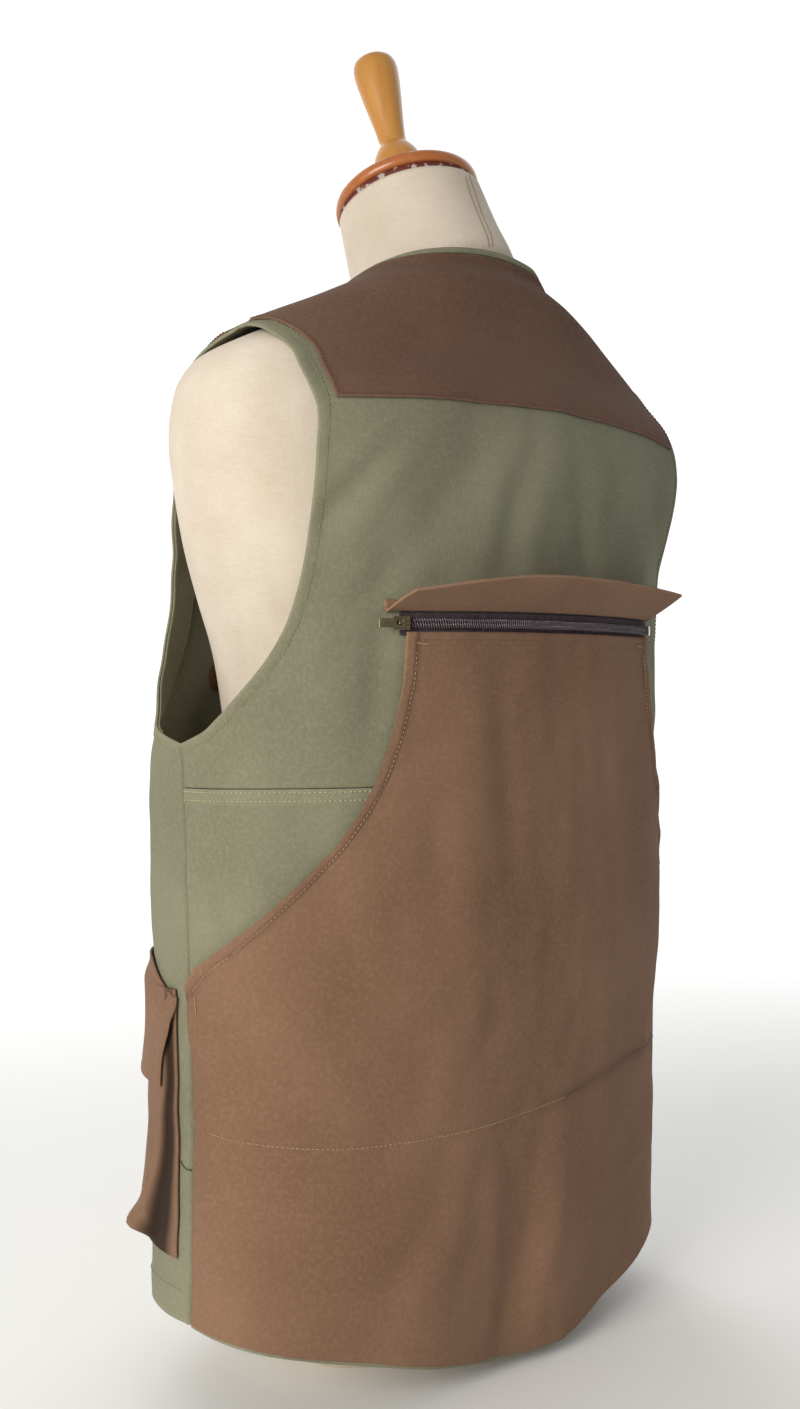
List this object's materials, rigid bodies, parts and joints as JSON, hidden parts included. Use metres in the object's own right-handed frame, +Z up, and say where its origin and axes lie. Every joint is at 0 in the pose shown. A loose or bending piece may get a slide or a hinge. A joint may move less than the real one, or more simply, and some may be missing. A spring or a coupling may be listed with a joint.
{
  "type": "canvas gilet on a dress form",
  "caption": "Sleeveless olive and brown canvas shooting gilet with a zipped game pocket across the back, on a limbless linen dress form with a turned wooden top.",
  "frame": {"origin": "on the floor under the middle of the dress form, on its flat underside", "axes": "+Z up; +Y out of the wearer's back, so the gilet's front faces -Y; +X to the wearer's left"},
  "size_m": [0.4126, 0.2947, 0.8617],
  "materials": {
    "olive_canvas": "matt cotton canvas, lightly faded",
    "brown_canvas": "matt cotton canvas",
    "dark_brown_canvas": "matt cotton canvas",
    "zip_tape": "woven tape",
    "zip_chain": "coil chain",
    "antique_brass": "antiqued",
    "nickel": "plated",
    "brown_stud": "satin enamel",
    "linen": "natural linen stretched over the form",
    "dark_red_band": "matt, ragged edge",
    "red_beech": "gloss varnish",
    "beech": "gloss varnish"
  },
  "bodies": {
    "gilet_on_form": {"back_upper": "olive_canvas", "back_lower": "olive_canvas", "front_left": "olive_canvas", "front_right": "olive_canvas", "armhole_facing_left": "olive_canvas", "armhole_facing_right": "olive_canvas", "neck_binding": "olive_canvas", "yoke": "dark_brown_canvas", "game_pocket": "brown_canvas", "storm_flap": "brown_canvas", "front_pocket_left": "brown_canvas", "front_pocket_right": "brown_canvas", "front_pocket_flap_left": "brown_canvas", "front_pocket_flap_right": "brown_canvas", "zip_tape": "zip_tape", "zip_chain": "zip_chain", "zip_slider": "antique_brass", "zip_end_stop": "nickel", "front_stud_1": "antique_brass", "front_stud_2": "antique_brass", "front_stud_3": "antique_brass", "front_stud_4": "antique_brass", "front_stud_5": "antique_brass", "chest_stud_cap": "antique_brass", "chest_stud_back": "brown_stud", "form_torso": "linen", "form_neck_band": "dark_red_band", "form_disc": "red_beech", "form_knob": "beech"},
    "pull_tab": {"zip_pull_tab": "antique_brass"}
  },
  "joints": [
    {"name": "pull_tab_hinge", "type": "hinge", "parent": "gilet_on_form", "child": "pull_tab", "pos_m": [0.10987, 0.11488, 0.46042], "axis": [0.0101, 0.027, 0.9996], "range_deg": [0, 150]}
  ]
}
